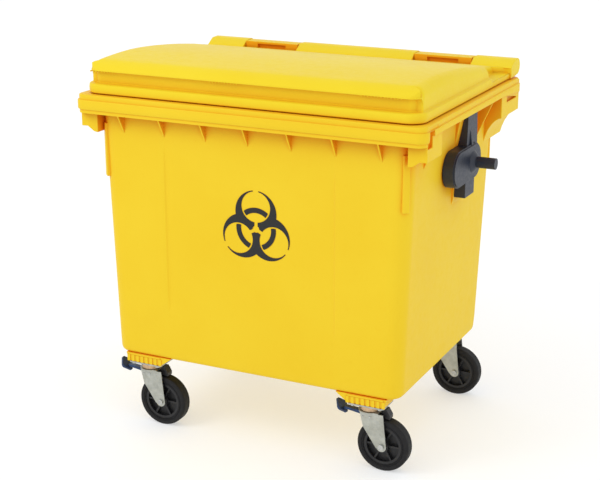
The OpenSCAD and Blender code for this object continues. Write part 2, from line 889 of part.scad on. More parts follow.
// Foot pedal, its arm and the cam nose behind its pin
module brake_pedal() {
    px = pedal_pin_x;
    pz = pedal_pin_z;
    tip = -pedal_reach;
    color("midnightblue")
        difference() {
            union() {
                rod_y(px, pz, 8, -lever_half, lever_half);
                bar_y(-lever_half, lever_half)
                    polygon([[px, pz + 7], [tip + 38, pz + 13], [tip + 38, pz + 5], [px, pz - 7]]);
                translate([tip + 24, 0, pz + 11])
                    rotate([0, 52, 0])
                        hull() {
                            for (y = [-1, 1])
                                translate([0, y * 20, 0])
                                    cylinder(r = 11, h = 8, center = true, $fn = hull_fn);
                            for (x = [-1, 1])
                                translate([x * 22, 0, 0])
                                    cylinder(r = 9, h = 8, center = true, $fn = hull_fn);
                        }
            }
            rod_y(px, pz, brake_pin_r + run_clear, -lever_half - eps, lever_half + eps);
        }
}

// Lever under the crown that carries the block above the back of the tyre
module brake_shoe() {
    sx = shoe_pin_x;
    sz = shoe_pin_z;
    pad_low_z = wheel_d + 4;
    color([0.1, 0.1, 0.11])
        difference() {
            union() {
                rod_y(sx, sz, 6.5, -lever_half, lever_half);
                bar_y(-lever_half, lever_half)
                    polygon([[sx, sz + 5], [crown_r + 4, sz + 5], [crown_r + 4, sz - 5], [sx, sz - 5]]);
                bar_y(-16, 16)
                    polygon([[crown_r + 3, crown_low - 9], [crown_r + 10, crown_top + 13], [crown_r + 24, crown_top + 13],
                             [crown_r + 38, crown_low - 6], [crown_r + 38, pad_low_z], [crown_r + 3, pad_low_z]]);
            }
            rod_y(sx, sz, brake_pin_r + run_clear, -lever_half - eps, lever_half + eps);
        }
}

module brake_pins() {
    out = cheek_gap + cheek_t + 2;
    color("silver")
        for (pin = [[pedal_pin_x, pedal_pin_z], [shoe_pin_x, shoe_pin_z]])
            rod_y(pin[0], pin[1], brake_pin_r, -out, out);
}

tub();
lid();
hazard_sign();
drain_plug();
drain_seal();
trunnion_bolts();
castor_bolts();
castor_inserts();
for (side = [0, 1]) {
    mirror([1 - side, 0, 0]) hinge_pin();
    mirror([1 - side, 0, 0]) trunnion();
}
for (k = [0:3]) {
    at_castor(k) castor_plate();
    at_castor(k) race_ring();
    at_castor(k) swivel_balls();
    at_castor(k) kingpin();
    at_castor(k) fork(k < 2);
    at_castor(k) axle_bolt();
    at_castor(k) axle_nut();
    at_castor(k) axle_sleeve();
    at_castor(k) wheel_centre();
    at_castor(k) tyre();
}
for (k = [0, 1]) {
    at_castor(k) brake_pedal();
    at_castor(k) brake_shoe();
    at_castor(k) brake_pins();
}
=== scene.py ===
import math

import bpy
import bmesh
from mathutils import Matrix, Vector


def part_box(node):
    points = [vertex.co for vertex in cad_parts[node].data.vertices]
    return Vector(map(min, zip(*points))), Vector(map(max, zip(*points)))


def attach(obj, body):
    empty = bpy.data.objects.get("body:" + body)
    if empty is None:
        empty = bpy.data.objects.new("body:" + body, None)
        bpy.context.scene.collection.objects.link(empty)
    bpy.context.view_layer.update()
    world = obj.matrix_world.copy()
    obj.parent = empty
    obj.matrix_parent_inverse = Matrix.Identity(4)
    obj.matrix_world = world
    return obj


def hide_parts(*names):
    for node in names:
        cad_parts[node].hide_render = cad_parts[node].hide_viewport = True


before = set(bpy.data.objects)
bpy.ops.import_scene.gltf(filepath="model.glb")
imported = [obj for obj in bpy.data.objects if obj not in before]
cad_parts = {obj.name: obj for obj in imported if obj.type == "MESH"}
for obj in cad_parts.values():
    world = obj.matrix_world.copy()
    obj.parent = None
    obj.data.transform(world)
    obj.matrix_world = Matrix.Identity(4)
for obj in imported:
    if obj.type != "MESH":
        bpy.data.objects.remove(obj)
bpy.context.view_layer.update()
print("frame loaded")

# the frame's own pieces give every size used below

tubLow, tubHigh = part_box("tub")
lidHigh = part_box("lid")[1]
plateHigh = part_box("castor_plate_front_left")[1]
pinLow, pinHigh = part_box("hinge_pin_right")

bead = 0.006
rimHalf = tubHigh.x - bead
rimFront = tubLow.y + bead
hingeY = (pinLow.y + pinHigh.y) / 2
hingeZ = (pinLow.z + pinHigh.z) / 2
rimRear = hingeY + 0.005
rimTop = hingeZ - 0.041
bandLow = rimTop - 0.070
sideLow = rimTop - 0.040
boxLow = rimTop - 0.125
floorZ = plateHigh.z + 0.033
frontBoxEnd = rimFront + 0.170
rearBoxStart = rimRear - 0.225
trunnionY = hingeY - 0.470
rimRadius = 0.032
boxFace = rimHalf - 0.0008

tub = {
    "halfTop": rimHalf - 0.062,
    "halfLow": rimHalf - 0.095,
    "frontTop": rimFront + 0.048,
    "frontLow": rimFront + 0.056,
    "rearTop": rimRear - 0.098,
    "rearLow": rimRear - 0.128,
    "corner": 0.060,
    "wall": 0.005,
}


def rise(z):
    return (z - floorZ) / (rimTop - floorZ)


def mix(a, b, t):
    return a + (b - a) * t


def smooth(t):
    t = max(0.0, min(1.0, t))
    return t * t * (3 - 2 * t)


def halfAt(z):
    return mix(tub["halfLow"], tub["halfTop"], rise(z))


def frontAt(z):
    return mix(tub["frontLow"], tub["frontTop"], rise(z))


def rearAt(z):
    return mix(tub["rearLow"], tub["rearTop"], rise(z))


# mesh helpers: a rounded loop, rings joined into a skin, and small solids gathered into one mesh

def loopAt(half, front, rear, radius, xs, ys, steps=10):
    points = []

    def arc(cx, cy, start):
        for k in range(steps + 1):
            a = math.radians(start + 90 * k / steps)
            points.append((cx + radius * math.cos(a), cy + radius * math.sin(a), math.cos(a), math.sin(a)))

    for x in xs:
        points.append((x, front, 0.0, -1.0))
    arc(half - radius, front + radius, -90)
    for y in ys:
        points.append((half, y, 1.0, 0.0))
    arc(half - radius, rear - radius, 0)
    for x in reversed(xs):
        points.append((x, rear, 0.0, 1.0))
    arc(-half + radius, rear - radius, 90)
    for y in reversed(ys):
        points.append((-half, y, -1.0, 0.0))
    arc(-half + radius, front + radius, 180)
    return points


def meshObject(name, verts, faces, material, body, angle=40):
    mesh = bpy.data.meshes.new(name)
    mesh.from_pydata([tuple(v) for v in verts], [], faces)
    obj = bpy.data.objects.new(name, mesh)
    bpy.context.scene.collection.objects.link(obj)
    bm = bmesh.new()
    bm.from_mesh(mesh)
    bmesh.ops.remove_doubles(bm, verts=bm.verts, dist=0.00005)
    bmesh.ops.recalc_face_normals(bm, faces=bm.faces)
    for face in bm.faces:
        face.smooth = True
    for edge in bm.edges:
        if len(edge.link_faces) == 2 and edge.calc_face_angle(0) > math.radians(angle):
            edge.smooth = False
    bm.to_mesh(mesh)
    bm.free()
    mesh.materials.append(material)
    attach(obj, body)
    return obj


def bridge(rings, closeStart=None, closeEnd=None):
    count = len(rings[0])
    verts = [v for ring in rings for v in ring]
    faces = []
    for r in range(len(rings) - 1):
        for k in range(count):
            n = (k + 1) % count
            faces.append((r * count + k, r * count + n, (r + 1) * count + n, (r + 1) * count + k))
    for centre, base in ((closeStart, 0), (closeEnd, (len(rings) - 1) * count)):
        if centre is not None:
            verts.append(centre)
            hub = len(verts) - 1
            faces += [(base + k, base + (k + 1) % count, hub) for k in range(count)]
    return verts, faces


class Shapes:
    def __init__(self):
        self.verts = []
        self.faces = []

    def add(self, verts, faces):
        base = len(self.verts)
        self.verts += verts
        self.faces += [tuple(base + i for i in f) for f in faces]

    def prism(self, outline, axis, low, high, mirror=False):
        place = {
            "x": lambda u, v, w: (w, u, v),
            "y": lambda u, v, w: (u, w, v),
            "z": lambda u, v, w: (u, v, w),
        }[axis]
        for sign in ((1, -1) if mirror else (1,)):
            count = len(outline)
            verts = [place(u, v, w) for w in (low, high) for u, v in outline]
            verts = [(sign * x, y, z) for x, y, z in verts]
            faces = [(k, (k + 1) % count, count + (k + 1) % count, count + k) for k in range(count)]
            faces += [tuple(range(count)), tuple(range(count, 2 * count))]
            self.add(verts, faces)

    def block(self, low, high, mirror=False):
        (x0, y0, z0), (x1, y1, z1) = low, high
        self.prism([(y0, z0), (y1, z0), (y1, z1), (y0, z1)], "x", x0, x1, mirror)

    def pocketBox(self, y0, y1, underside, pockets):
        ys = sorted({y0, y1} | {y for p in pockets for y in p["y"]})
        top = rimTop - 0.006
        zs = sorted({boxLow, top} | {z for p in pockets for z in p["z"]})

        def xAt(y, z):
            for p in pockets:
                if p["y"][0] < y < p["y"][1] and p["z"][0] < z < p["z"][1]:
                    return boxFace - p["deep"]
            return boxFace

        for sign in (1, -1):
            def quad(*corners):
                self.add([(sign * x, y, z) for x, y, z in corners], [tuple(range(len(corners)))])

            for ya, yb in zip(ys, ys[1:]):
                for za, zb in zip(zs, zs[1:]):
                    x = xAt((ya + yb) / 2, (za + zb) / 2)
                    quad((x, ya, za), (x, yb, za), (x, yb, zb), (x, ya, zb))
                    if yb < y1:
                        nextX = xAt(yb + 0.0001, (za + zb) / 2)
                        if nextX != x:
                            quad((x, yb, za), (nextX, yb, za), (nextX, yb, zb), (x, yb, zb))
                    if zb < top:
                        nextX = xAt((ya + yb) / 2, zb + 0.0001)
                        if nextX != x:
                            quad((x, ya, zb), (nextX, ya, zb), (nextX, yb, zb), (x, yb, zb))
                path = [(boxFace, boxLow)] + underside + [(underside[-1][0], top), (boxFace, top)]
                for (xa, za), (xb, zb) in zip(path, path[1:]):
                    quad((xa, ya, za), (xa, yb, za), (xb, yb, zb), (xb, ya, zb))
            end = underside + [(underside[-1][0], top)] + [(boxFace, z) for z in reversed(zs)]
            for y in (y0, y1):
                quad(*[(x, y, z) for x, z in end])

    def make(self, name, material, body, width=0.0015, segments=2, angle=30):
        obj = meshObject(name, self.verts, self.faces, material, body, angle)
        bevel = obj.modifiers.new("edges", "BEVEL")
        bevel.width = width
        bevel.segments = segments
        bevel.limit_method = "ANGLE"
        bevel.angle_limit = math.radians(angle)
        bevel.use_clamp_overlap = True
        return obj


# materials: every look is two close colours, scuffs, fine grain and a slow wave; the tub and lid plastics
# also get painted shade, a darker orange mixed into recesses found by ambient occlusion

def nodesFor(name):
    material = bpy.data.materials.new(name)
    material.use_nodes = True
    tree = material.node_tree
    tree.nodes.clear()
    out = tree.nodes.new("ShaderNodeOutputMaterial")
    shader = tree.nodes.new("ShaderNodeBsdfPrincipled")
    tree.links.new(shader.outputs["BSDF"], out.inputs["Surface"])
    return material, tree, shader


def link(tree, a, b):
    tree.links.new(a, b)


def noise(tree, coords, scale, detail=4, rough=0.55):
    node = tree.nodes.new("ShaderNodeTexNoise")
    node.inputs["Scale"].default_value = scale
    node.inputs["Detail"].default_value = detail
    node.inputs["Roughness"].default_value = rough
    link(tree, coords, node.inputs["Vector"])
    return node.outputs["Fac"]


def remap(tree, value, low, high, fromLow=0.3, fromHigh=0.7):
    node = tree.nodes.new("ShaderNodeMapRange")
    node.inputs["From Min"].default_value = fromLow
    node.inputs["From Max"].default_value = fromHigh
    node.inputs["To Min"].default_value = low
    node.inputs["To Max"].default_value = high
    link(tree, value, node.inputs["Value"])
    return node.outputs["Result"]


def mixColour(tree, factor, a, b):
    node = tree.nodes.new("ShaderNodeMix")
    node.data_type = "RGBA"
    for socket, value in ((node.inputs[6], a), (node.inputs[7], b)):
        if isinstance(value, bpy.types.NodeSocket):
            link(tree, value, socket)
        else:
            socket.default_value = (*value, 1)
    if isinstance(factor, bpy.types.NodeSocket):
        link(tree, factor, node.inputs[0])
    else:
        node.inputs[0].default_value = factor
    return node.outputs[2]


def finishMaterial(look):
    material, tree, shader = nodesFor(look["name"])
    coords = tree.nodes.new("ShaderNodeTexCoord").outputs["Object"]
    cloud = noise(tree, coords, look.get("cloud", 5), 3)
    grain = noise(tree, coords, look.get("grain", 900), 3, 0.6)
    scuff = noise(tree, coords, look.get("scuff", 60), 6, 0.7)
    colour = mixColour(tree, remap(tree, cloud, 0, 1), look["colour"], look["shade"])
    marks = remap(tree, scuff, 0, look.get("marks", 0.25), 0.56, 0.75)
    colour = mixColour(tree, marks, colour, look["mark"])
    # painted shade: where ambient occlusion finds a recess, corner or underside, the colour is mixed toward
    # the darker orange 'deep' colour
    if look.get("paintedShade"):
        shadeOcclusion = tree.nodes.new("ShaderNodeAmbientOcclusion")
        shadeOcclusion.samples = 8
        shadeOcclusion.inputs["Distance"].default_value = look.get("paintedShadeReach", 0.06)
        paintedShadeMask = remap(tree, shadeOcclusion.outputs["AO"], look["paintedShade"], 0, 0.25, 0.95)
        colour = mixColour(tree, paintedShadeMask, colour, look["deep"])
    link(tree, colour, shader.inputs["Base Color"])
    low, high = look["rough"]
    link(tree, remap(tree, scuff, low, high), shader.inputs["Roughness"])
    shader.inputs["Metallic"].default_value = look.get("metal", 0)
    shader.inputs["Specular IOR Level"].default_value = look.get("gloss", 0.5)
    bump = tree.nodes.new("ShaderNodeBump")
    bump.inputs["Strength"].default_value = look.get("bump", 0.2)
    bump.inputs["Distance"].default_value = look.get("bumpDepth", 0.0004)
    link(tree, grain, bump.inputs["Height"])
    wave = tree.nodes.new("ShaderNodeBump")
    wave.inputs["Strength"].default_value = look.get("wave", 0.15)
    wave.inputs["Distance"].default_value = look.get("waveDepth", 0.004)
    link(tree, noise(tree, coords, look.get("waveScale", 4), 2), wave.inputs["Height"])
    link(tree, wave.outputs["Normal"], bump.inputs["Normal"])
    if look.get("edge"):
        edges = tree.nodes.new("ShaderNodeBevel")
        edges.samples = 4
        edges.inputs["Radius"].default_value = look["edge"]
        link(tree, edges.outputs["Normal"], wave.inputs["Normal"])
    link(tree, bump.outputs["Normal"], shader.inputs["Normal"])
    return material


def hexColour(text):
    parts = [int(text[i:i + 2], 16) / 255 for i in (0, 2, 4)]
    return tuple(c / 12.92 if c < 0.04045 else ((c + 0.055) / 1.055) ** 2.4 for c in parts)


# tub plastic: the orange 'deep' colour is painted shade for recesses, corners and the space under the rim
tubPlastic = finishMaterial({
    "name": "tub_plastic", "colour": hexColour("e8c72c"), "shade": hexColour("e6c227"),
    "mark": hexColour("e3b920"),
    "rough": (0.36, 0.5), "cloud": 2.5, "grain": 650, "bump": 0.22, "scuff": 35, "marks": 0.25,
    "paintedShade": 1.0, "deep": hexColour("ea860c"), "paintedShadeReach": 0.13, "gloss": 0.08, "wave": 0.3,
    "waveDepth": 0.003, "edge": 0.0012,
})
# lid plastic: the orange 'deep' colour is painted shade for the lid's grooves and undersides
lidPlastic = finishMaterial({
    "name": "lid_plastic", "colour": hexColour("e8cf2c"), "shade": hexColour("e6ca26"),
    "mark": hexColour("e3c21e"),
    "rough": (0.33, 0.46), "cloud": 3, "grain": 700, "bump": 0.2, "scuff": 40, "marks": 0.2,
    "paintedShade": 0.8, "deep": hexColour("e89a0c"), "paintedShadeReach": 0.05, "gloss": 0.08, "wave": 0.3,
    "waveDepth": 0.003, "edge": 0.0012,
})
blackPlastic = finishMaterial({
    "name": "trunnion_plastic", "colour": hexColour("1d2434"), "shade": hexColour("171d2a"),
    "mark": hexColour("343841"),
    "rough": (0.36, 0.55), "cloud": 14, "grain": 800, "bump": 0.3, "scuff": 90, "marks": 0.35,
    "edge": 0.0022,
})
pinPlastic = finishMaterial({
    "name": "pin_plastic", "colour": hexColour("5a3014"), "shade": hexColour("42220e"),
    "mark": hexColour("70451f"),
    "rough": (0.4, 0.6), "grain": 900, "bump": 0.2, "edge": 0.0008,
})
zincSteel = finishMaterial({
    "name": "zinc_steel", "colour": hexColour("b9bbb4"), "shade": hexColour("a2a49c"),
    "mark": hexColour("8a8778"),
    "rough": (0.24, 0.46), "metal": 0.9, "cloud": 40, "grain": 420, "scuff": 130, "marks": 0.45,
    "bump": 0.25,
    "wave": 0.25, "waveScale": 30, "waveDepth": 0.0008, "edge": 0.0009,
})
boltSteel = finishMaterial({
    "name": "bolt_steel", "colour": hexColour("c5c7c6"), "shade": hexColour("a9aba9"),
    "mark": hexColour("77756c"),
    "rough": (0.2, 0.4), "metal": 1, "cloud": 60, "grain": 600, "scuff": 200, "marks": 0.5, "bump": 0.15,
    "edge": 0.0008,
})
raceSteel = finishMaterial({
    "name": "race_steel", "colour": hexColour("dcbd98"), "shade": hexColour("c9a783"),
    "mark": hexColour("7d5f40"),
    "rough": (0.3, 0.5), "metal": 0.75, "cloud": 60, "grain": 500, "scuff": 150, "marks": 0.5, "bump": 0.2,
    "edge": 0.001,
})
ballSteel = finishMaterial({
    "name": "ball_steel", "colour": hexColour("d4d6d8"), "shade": hexColour("c4c6c8"),
    "mark": hexColour("9a9a96"),
    "rough": (0.1, 0.22), "metal": 1, "cloud": 200, "grain": 900, "scuff": 300, "marks": 0.3, "bump": 0.05,
})
brass = finishMaterial({
    "name": "insert_brass", "colour": hexColour("c09a4c"), "shade": hexColour("a8853f"),
    "mark": hexColour("7a5f2c"),
    "rough": (0.25, 0.45), "metal": 1, "cloud": 80, "grain": 500, "scuff": 200, "bump": 0.2,
})
wheelPlastic = finishMaterial({
    "name": "wheel_plastic", "colour": hexColour("17171a"), "shade": hexColour("101012"),
    "mark": hexColour("3c3b3a"),
    "rough": (0.38, 0.6), "cloud": 25, "grain": 800, "scuff": 110, "marks": 0.4, "bump": 0.25,
    "edge": 0.0012,
})
tyreRubber = finishMaterial({
    "name": "tyre_rubber", "colour": hexColour("121214"), "shade": hexColour("0c0c0e"),
    "mark": hexColour("3f3b37"),
    "rough": (0.55, 0.8), "cloud": 18, "grain": 1000, "scuff": 70, "marks": 0.45, "bump": 0.4,
    "gloss": 0.35, "edge": 0.0008,
})
pedalPaint = finishMaterial({
    "name": "pedal_paint", "colour": hexColour("22406e"), "shade": hexColour("182f54"),
    "mark": hexColour("6f7885"),
    "rough": (0.3, 0.5), "metal": 0.2, "cloud": 40, "grain": 700, "scuff": 140, "marks": 0.4, "bump": 0.2,
    "edge": 0.0012,
})
signInk = finishMaterial({
    "name": "sign_ink", "colour": hexColour("060606"), "shade": hexColour("0a0a09"),
    "mark": hexColour("1c180e"),
    "rough": (0.4, 0.6), "cloud": 20, "grain": 900, "scuff": 160, "marks": 0.35, "bump": 0.15,
})
sealRubber = finishMaterial({
    "name": "seal_rubber", "colour": hexColour("1c1c1e"), "shade": hexColour("141416"),
    "mark": hexColour("343230"),
    "rough": (0.6, 0.8), "grain": 900, "bump": 0.3,
})

nodeLooks = {
    "hazard_sign": signInk, "drain_plug": tubPlastic, "drain_seal": sealRubber, "trunnion_bolts": boltSteel,
    "castor_bolts": boltSteel, "castor_inserts": brass, "hinge_pin": pinPlastic, "trunnion": blackPlastic,
    "castor_plate": zincSteel, "race_ring": raceSteel, "swivel_balls": ballSteel, "kingpin": zincSteel,
    "fork": zincSteel,
    "axle_bolt": boltSteel, "axle_nut": boltSteel, "axle_sleeve": zincSteel, "wheel_centre": wheelPlastic,
    "tyre": tyreRubber, "brake_pedal": pedalPaint, "brake_shoe": wheelPlastic, "brake_pins": boltSteel,
}
for name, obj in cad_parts.items():
    stems = [stem for stem in nodeLooks if name.startswith(stem)]
    if stems:
        obj.data.materials.clear()
        obj.data.materials.append(nodeLooks[max(stems, key=len)])
print("materials made")

# the tub: one wall from the floor up, over the rim and back down inside

crease = {"x": 0.342, "top": rimTop - 0.150, "low": {-1: rimTop - 0.890, 1: rimTop - 0.825}, "step": 0.0035}
notches = [
    {"y": (rimFront + 0.036, rimFront + 0.080), "z": (boxLow + 0.045, rimTop - 0.022), "deep": 0.0125},
    {"y": (rimFront + 0.052, rimFront + 0.124), "z": (rimTop - 0.018, rimTop - 0.008), "deep": 0.0060},
]


def panelStep(x, z):
    side = 1 if x > 0 else -1
    fade = smooth((crease["top"] - z) / 0.10) * smooth((z - crease["low"][side]) / 0.03)
    drift = max(0.0, crease["low"][side] + 0.10 - z) * (1.3 if side < 0 else 0.0)
    past = abs(x) - crease["x"] - drift
    return crease["step"] * fade * smooth(past / 0.008 + 0.5) * (1 - smooth((past - 0.02) / 0.14))


frontXs = [-0.50 + 0.02 * k for k in range(51)]
frontXs += [side * (crease["x"] + d) for side in (-1, 1) for d in (-0.006, -0.003, 0.0, 0.003, 0.006)]
frontXs = sorted(set(round(x, 4) for x in frontXs))
sideYs = [y + d for y in (frontBoxEnd, rearBoxStart) for d in (-0.001, 0.001)]
sideYs += [y + d for notch in notches for y in notch["y"] for d in (-0.0008, 0.0008)]
sideYs += [-0.37 + 0.04 * k for k in range(17)]
sideYs = sorted(y for y in sideYs if rimFront + rimRadius + 0.001 < y < rimRear - rimRadius - 0.07)


def bodyRing(z, inset):
    t = rise(z)
    half = halfAt(z) - inset
    front, rear = frontAt(z) + inset, rearAt(z) - inset
    radius = max(tub["corner"] - inset, 0.02)
    ys = [max(front + radius + 0.0006 * k, min(y, rear - radius)) for k, y in enumerate(sideYs)]
    ring = []
    for x, y, nx, ny in loopAt(half, front, rear, radius, frontXs, ys):
        if ny < -0.99:
            y -= panelStep(x, z)
        ring.append((x, y, z, nx, ny))
    return ring


def floorRing(step, inset):
    a = math.radians(step)
    ring = []
    for x, y, z, nx, ny in bodyRing(floorZ + 0.001, inset):
        radius = mix(0.019, 0.060, smooth((ny + 0.1) / 1.1) if ny > 0 else 0) - inset
        back = radius * (1 - math.sin(a))
        ring.append((x - nx * back, y - ny * back, floorZ + inset + radius * (1 - math.cos(a)), nx, ny))
    return ring


def rimRing(inset, height):
    ring = []
    radius = rimRadius - min(inset, 0.02)
    for x, y, nx, ny in loopAt(rimHalf - inset, rimFront + inset, rimRear - inset, radius, frontXs, sideYs):
        onSide = abs(nx) > 0.99 and rimFront + rimRadius < y < rimRear - rimRadius
        low = sideLow if onSide else bandLow
        z = low if height is None else max(height, low)
        for notch in notches:
            if onSide and notch["y"][0] < y < notch["y"][1] and notch["z"][0] - 0.001 <= z <= notch["z"][1]:
                x -= nx * (notch["deep"] + (0.004 if inset > 0.004 else -inset))
        ring.append((x, y, z, nx, ny))
    return ring


heights = [floorZ + 0.062]
while heights[-1] < rimTop - 0.03:
    heights.append(heights[-1] + 0.028)
outer = [floorRing(step, 0) for step in (0, 18, 36, 54, 72, 90)]
outer += [bodyRing(z, 0) for z in heights]
outer.append(bodyRing(rimTop - 0.012, 0))
outer.append(bodyRing(rimTop - 0.005, -0.007))
skirt = [
    rimRing(0.009, rimTop - 0.004), rimRing(0.0055, rimTop - 0.0065), rimRing(0.0055, rimTop - 0.019),
    rimRing(0.0055, rimTop - 0.0235), rimRing(0.0055, None), rimRing(0.003, None),
    rimRing(0.0, None), rimRing(0.0, bandLow + 0.0015), rimRing(0.0, bandLow + 0.013),
    rimRing(-0.0045, bandLow + 0.0148),
    rimRing(-bead, bandLow + 0.0175), rimRing(-bead, rimTop - 0.0230), rimRing(-0.0045, rimTop - 0.0205),
    rimRing(0.0, rimTop - 0.0185), rimRing(0.0, rimTop - 0.0175), rimRing(0.0, rimTop - 0.0085),
    rimRing(0.0, rimTop - 0.0075),
    rimRing(0.0, rimTop - 0.005), rimRing(0.0015, rimTop - 0.0015), rimRing(0.005, rimTop),
]
inner = [bodyRing(rimTop, -0.003), bodyRing(rimTop, 0.002), bodyRing(rimTop - 0.0015, 0.0045)]
inner += [bodyRing(z, tub["wall"]) for z in reversed(heights)]
inner += [floorRing(step, tub["wall"]) for step in (90, 72, 54, 36, 18, 0)]
shellRings = [[(x, y, z) for x, y, z, nx, ny in ring] for ring in outer + skirt + inner]
midY = (tub["frontLow"] + tub["rearLow"]) / 2
verts, faces = bridge(shellRings, (0, midY, floorZ), (0, midY, floorZ + tub["wall"]))
tubShell = meshObject("tubShell", verts, faces, tubPlastic, "bin", 32)
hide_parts("tub")
print("tub shell made")

# thin ribs under the front and rear overhang

gusset = {"count": 7, "pitch": 2 * rimHalf / 8, "half": 0.003, "drop": 0.078}
ribs = Shapes()
for k in range(gusset["count"]):
    x = (k - 3) * gusset["pitch"]
    low = bandLow - gusset["drop"]
    front = [(frontAt(low) + 0.002, low), (frontAt(bandLow) + 0.003, rimTop - 0.006),
             (rimFront + 0.004, rimTop - 0.006),
             (rimFront + 0.004, bandLow + 0.002), (rimFront + 0.012, bandLow - 0.004),
             (frontAt(low) - 0.006, low + 0.02)]
    ribs.prism(front, "x", x - gusset["half"], x + gusset["half"])
    rear = [(rearAt(low) - 0.002, low), (rearAt(bandLow) - 0.003, rimTop - 0.006),
            (rimRear - 0.004, rimTop - 0.006),
            (rimRear - 0.004, bandLow + 0.002), (rimRear - 0.02, bandLow - 0.006),
            (rearAt(low) + 0.008, low + 0.02)]
    ribs.prism(rear, "x", x - gusset["half"], x + gusset["half"])
ribs.make("rimGussets", tubPlastic, "bin", 0.0012)

# boxes under the four rim corners, the front pair on straight brackets and the rear pair on curved ones

innerX = halfAt(boxLow) - 0.004
straight = [(rimHalf - 0.026, boxLow + 0.001), (mix(innerX, rimHalf, 0.25), boxLow - 0.017),
            (innerX, boxLow - 0.020)]
curved = []
for a in range(15, 91, 15):
    turn = math.radians(a)
    run = rimHalf - 0.022 - innerX
    curved.append((rimHalf - run * math.sin(turn) - 0.022 * (1 - math.cos(turn)),
                   boxLow - 0.100 * (1 - math.cos(turn))))
boxes = Shapes()
boxes.pocketBox(rimFront + 0.030, frontBoxEnd, straight, [
    {"y": notches[0]["y"], "z": notches[0]["z"], "deep": 0.0135},
])
boxes.pocketBox(rearBoxStart, rimRear - 0.012, curved, [
    {"y": (rearBoxStart + 0.062, rimRear - 0.046), "z": (boxLow + 0.052, sideLow - 0.002), "deep": 0.012},
])
boxes.make("cornerBoxes", tubPlastic, "bin", 0.0025, 3)

# upright webs on the side walls and the raised panel behind each trunnion

webs = Shapes()
wallX = halfAt(sideLow) - 0.004
webLow = boxLow - 0.060
for y in (rearBoxStart - 0.098, frontBoxEnd + 0.008):
    webs.prism([(wallX, rimTop - 0.006), (rimHalf - 0.002, rimTop - 0.006), (rimHalf - 0.002, sideLow),
                (halfAt(webLow) + 0.001, webLow), (halfAt(webLow) - 0.004, webLow)], "y", y, y + 0.007,
                mirror=True)
faceX = halfAt(hingeZ - 0.281) + 0.0026
panelLow = rimTop - 0.368
webs.prism([(wallX, rimTop - 0.006), (faceX + 0.020, rimTop - 0.006), (faceX + 0.020, sideLow - 0.020),
            (faceX, boxLow - 0.048), (faceX, panelLow),
            (halfAt(panelLow - 0.024) + 0.0005, panelLow - 0.024),
            (halfAt(panelLow - 0.024) - 0.004, panelLow - 0.024)],
           "y", trunnionY - 0.082, trunnionY + 0.088, mirror=True)
webs.make("sideWebs", tubPlastic, "bin", 0.0025, 3)

# upright pads below the boxes, turned to face out of each corner

pads = Shapes()
padLow = rimTop - 0.315
for sx in (-1, 1):
    for sy, wallY in ((-1, frontAt(padLow)), (1, rearAt(padLow))):
        centre = Vector((sx * (halfAt(padLow) - tub["corner"]), wallY - sy * tub["corner"], 0))
        along = Vector((sx, sy, 0)).normalized()
        across = Vector((-along.y, along.x, 0))
        base = []
        for u, v in ((-0.012, -0.013), (0.012, -0.013), (0.012, 0.013), (-0.012, 0.013)):
            p = centre + along * (tub["corner"] + u) + across * v
            base.append((p.x, p.y))
        pads.prism(base, "z", padLow, boxLow + 0.014)
pads.make("cornerPads", tubPlastic, "bin", 0.003, 3)

# fluted feet over the castor plates

feet = Shapes()
flute = {"pitch": 0.020, "half": 0.0065, "deep": 0.0025}
for k, corner in enumerate(("front_left", "front_right", "rear_left", "rear_right")):
    low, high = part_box("castor_plate_" + corner)
    cx = (low.x + high.x) / 2
    outward = 1 if cx > 0 else -1
    halfW = (high.x - low.x) / 2
    spread = {outward: min(0.010, tub["halfLow"] - 0.018 - abs(cx) - halfW), -outward: 0.047}
    top = floorZ + 0.002
    face, back, way = (low.y, high.y, 1) if k < 2 else (high.y, low.y, -1)
    step = face + way * flute["deep"]
    profile = [(cx - halfW, high.z), (cx + halfW, high.z), (cx + halfW + spread[1], top),
               (cx - halfW - spread[-1], top)]
    feet.prism(profile, "y", min(step, back), max(step, back))
    feet.block((cx - halfW, min(face, step), floorZ - 0.006), (cx + halfW, max(face, step), top - 0.001))
    for n in range(-4, 4):
        x = cx + (n + 0.5) * flute["pitch"]
        if abs(x - cx) < halfW:
            feet.block((x - flute["half"], min(face, step), high.z),
                       (x + flute["half"], max(face, step), floorZ - 0.0062))
feet.make("castorFeet", tubPlastic, "bin", 0.0012, 2)

# hinge lugs on the rear rim, each with a blind grip slot

lugs = Shapes()
lug = {"out": 2 * rimHalf * 0.365, "in": 2 * rimHalf * 0.19, "front": hingeY - 0.055,
       "round": lidHigh.y - hingeY - 0.003, "slot": 0.012}
lugTop = hingeZ + lug["round"]
lugMid = (lug["out"] + lug["in"]) / 2
slotY = lug["front"] + lug["slot"]
roundTop = []
for a in range(-30, 91, 10):
    turn = math.radians(a)
    roundTop.append((hingeY + lug["round"] * math.cos(turn), hingeZ + lug["round"] * math.sin(turn)))
body = [(slotY, rimTop - 0.004), (hingeY + 0.005, rimTop - 0.004),
        (hingeY + 0.005, hingeZ - 0.014)] + roundTop
lugs.prism(body + [(slotY, lugTop)], "x", lug["in"], lug["out"], mirror=True)
for low, high in ((lug["in"], lugMid - 0.065), (lugMid + 0.065, lug["out"])):
    lugs.block((low, lug["front"], rimTop - 0.004), (high, slotY + 0.001, lugTop), mirror=True)
for low, high in ((rimTop - 0.004, lugTop - 0.030), (lugTop - 0.010, lugTop)):
    lugs.block((lugMid - 0.066, lug["front"], low), (lugMid + 0.066, slotY + 0.001, high), mirror=True)
lugs.make("hingeLugs", tubPlastic, "bin", 0.0018, 3)

badge = Shapes()
badge.prism([(-0.045, rimTop - 0.049), (0.059, rimTop - 0.049), (0.059, rimTop - 0.027),
             (-0.045, rimTop - 0.027)], "y",
            rimFront - bead + 0.0002, rimFront - bead + 0.003)
badge.make("blankPlate", tubPlastic, "bin", 0.0008, 2)
print("tub details made")

# the lid: rings from the lip up the side, then rows of points over the crowned top

